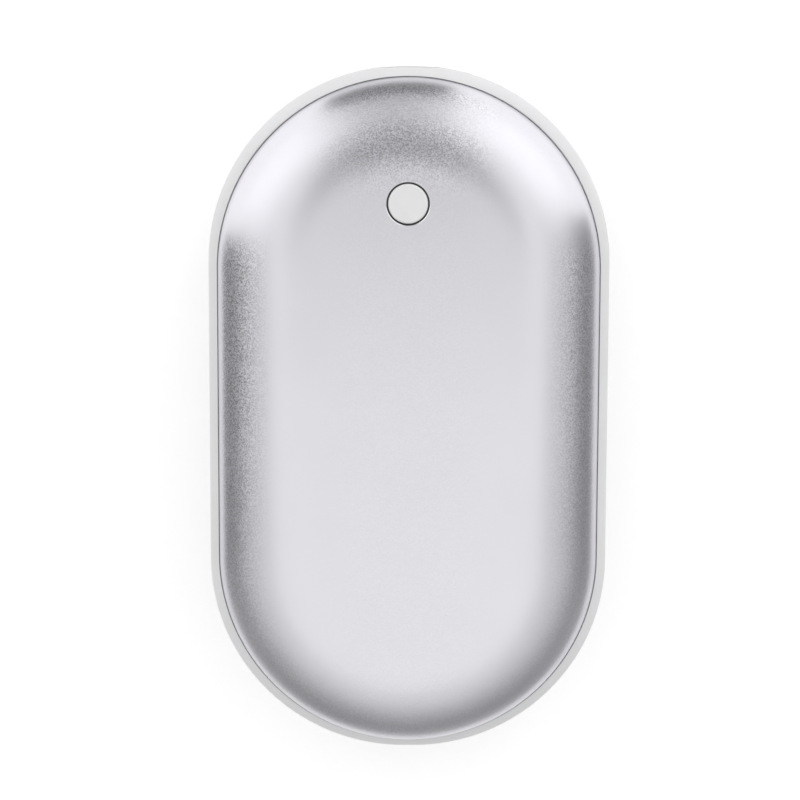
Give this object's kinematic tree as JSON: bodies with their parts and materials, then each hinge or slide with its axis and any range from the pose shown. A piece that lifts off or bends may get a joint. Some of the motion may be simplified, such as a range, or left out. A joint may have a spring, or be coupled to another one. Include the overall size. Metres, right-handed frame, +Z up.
{
  "type": "rechargeable hand warmer",
  "caption": "Pill-shaped pocket hand warmer: domed metal shells closed on a slim plastic band, with a round push button, a charging port, and heating films over round cells inside.",
  "frame": {"origin": "centre of the bottom of the part's box, on the flat of the back shell", "axes": "+X across the width, +Y along the length towards the button and port end, +Z up through the front shell; the part lies on its back"},
  "size_m": [0.06, 0.1034, 0.0261],
  "materials": {
    "shell_aluminium": "bead blasted, clear anodised",
    "band_plastic": "satin",
    "gasket_foam": "matt",
    "button_plastic": "satin",
    "black_plastic": "matt",
    "clear_plastic": "clear, polished",
    "heater_film": "amber film",
    "heater_foil": "etched foil",
    "insulator_board": "matt fibre board",
    "cell_steel": "nickel plated",
    "cell_winding": "wound foil, dark",
    "cell_cap_steel": "nickel plated",
    "washer_card": "card",
    "sleeve_film": "shrunk film",
    "nickel_strip": "rolled",
    "amber_tape": "tape",
    "bracket_plastic": "matt",
    "screw_steel": "zinc plated",
    "board_laminate": "green solder mask",
    "chip_plastic": "matt",
    "inductor_ferrite": "matt",
    "capacitor_ceramic": "satin",
    "light_resin": "clear",
    "port_steel": "satin",
    "contact_gold": "gold plated",
    "dome_steel": "bright",
    "red_insulation": "satin",
    "black_insulation": "satin",
    "white_insulation": "satin",
    "sensor_resin": "dipped resin"
  },
  "bodies": {
    "housing": {"front_shell": "shell_aluminium", "back_shell": "shell_aluminium", "mid_frame": "band_plastic", "front_seal": "gasket_foam", "back_seal": "gasket_foam", "button_guide": "black_plastic", "light_pipe": "clear_plastic", "front_heater_film": "heater_film", "back_heater_film": "heater_film", "front_heater_track": "heater_foil", "back_heater_track": "heater_foil", "front_insulator": "insulator_board", "back_insulator": "insulator_board", "left_cell_can": "cell_steel", "right_cell_can": "cell_steel", "left_cell_core": "cell_winding", "right_cell_core": "cell_winding", "left_cell_cap": "cell_cap_steel", "right_cell_cap": "cell_cap_steel", "left_cell_washer": "washer_card", "right_cell_washer": "washer_card", "left_cell_sleeve": "sleeve_film", "right_cell_sleeve": "sleeve_film", "positive_strip": "nickel_strip", "negative_strip": "nickel_strip", "pack_tape": "amber_tape", "lower_cell_bracket": "bracket_plastic", "upper_cell_bracket": "bracket_plastic", "bracket_screws": "screw_steel", "main_board": "board_laminate", "board_screws": "screw_steel", "controller_chip": "chip_plastic", "power_inductor": "inductor_ferrite", "board_capacitors": "capacitor_ceramic", "indicator_leds": "light_resin", "port_shell": "port_steel", "port_tongue": "black_plastic", "port_contacts": "contact_gold", "switch_base": "black_plastic", "switch_cover": "port_steel", "switch_dome": "dome_steel", "positive_lead": "red_insulation", "negative_lead": "black_insulation", "front_heater_leads": "white_insulation", "back_heater_leads": "white_insulation", "thermistor": "sensor_resin", "thermistor_leads": "white_insulation"},
    "power_button": {"power_button": "button_plastic"},
    "switch_plunger": {"switch_plunger": "black_plastic"}
  },
  "joints": [
    {"name": "button_press", "type": "slide", "parent": "housing", "child": "power_button", "axis": [0, 0, -1], "range_m": [0, 0.00025], "stiffness_N_per_m": 3000, "springref_m": -0.0001, "deforming": ["switch_dome"]},
    {"name": "plunger_press", "type": "slide", "parent": "housing", "child": "switch_plunger", "axis": [0, 0, -1], "range_m": [0, 0.00025]}
  ],
  "couplings": [
    {"joint": "plunger_press", "follows": "button_press", "ratio": 1}
  ]
}
